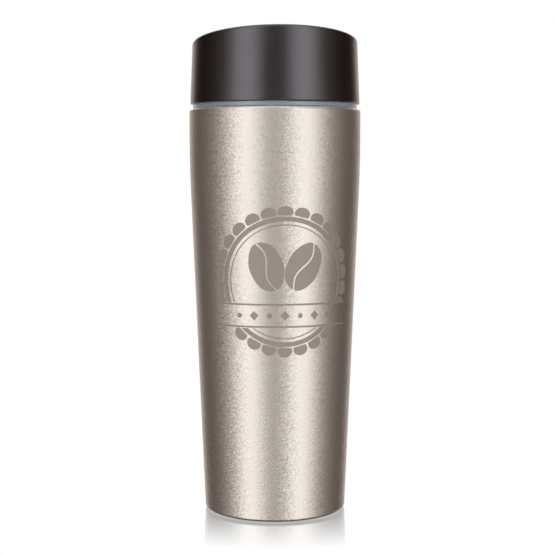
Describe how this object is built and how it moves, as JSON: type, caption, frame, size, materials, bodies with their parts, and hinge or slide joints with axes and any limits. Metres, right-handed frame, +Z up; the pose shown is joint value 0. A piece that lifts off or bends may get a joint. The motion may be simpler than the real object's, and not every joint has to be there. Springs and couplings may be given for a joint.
{
  "type": "insulated travel mug",
  "caption": "Tapered double-wall vacuum travel mug with a push-in lid, slanted rim, soft gasket ring and a sprung thumb button that opens a drinking valve.",
  "frame": {"origin": "centre of the foot, on the surface the mug stands on", "axes": "+Z up along the mug's axis, front (high side of the lid's rim and sip slot) towards -Y, +X to the right seen from the front"},
  "size_m": [0.072, 0.072, 0.2016],
  "materials": {
    "champagne_paint": "fine metallic flake, satin",
    "bare_steel": "electropolished",
    "foil": "bright foil",
    "sealing_glass": "fired",
    "getter_alloy": "sintered",
    "pad_rubber": "matte",
    "black_plastic": "fine satin",
    "button_plastic": "fine satin",
    "core_plastic": "smooth",
    "clear_silicone": "translucent",
    "seal_silicone": "translucent",
    "stem_plastic": "smooth",
    "spring_steel": "drawn wire",
    "fixings": "machined"
  },
  "bodies": {
    "mug": {"outer_shell": "champagne_paint", "inner_liner": "bare_steel", "heat_foil": "foil", "vacuum_base": "bare_steel", "vacuum_seal": "sealing_glass", "getter": "getter_alloy", "getter_clip": "bare_steel", "bottom_cap": "bare_steel", "base_pad": "pad_rubber"},
    "lid": {"lid_cover": "black_plastic", "lid_core": "core_plastic", "lid_gasket": "clear_silicone", "cover_seal": "seal_silicone", "guide_cup": "core_plastic", "guide_cup_seal": "seal_silicone", "guide_screws": "fixings", "stem_seal": "seal_silicone", "spring_washer": "fixings", "return_spring": "spring_steel"},
    "button": {"push_button": "button_plastic", "push_stem": "stem_plastic", "valve_disc": "stem_plastic", "valve_seal": "seal_silicone", "valve_screw": "fixings"}
  },
  "joints": [
    {"name": "lid_lift", "type": "slide", "parent": "mug", "child": "lid", "axis": [0, 0, 1], "range_m": [0, 0.06]},
    {"name": "button_press", "type": "slide", "parent": "lid", "child": "button", "axis": [0, 0, -1], "range_m": [0, 0.0035], "stiffness_N_per_m": 900, "springref_m": -0.003, "deforming": ["return_spring"]}
  ]
}
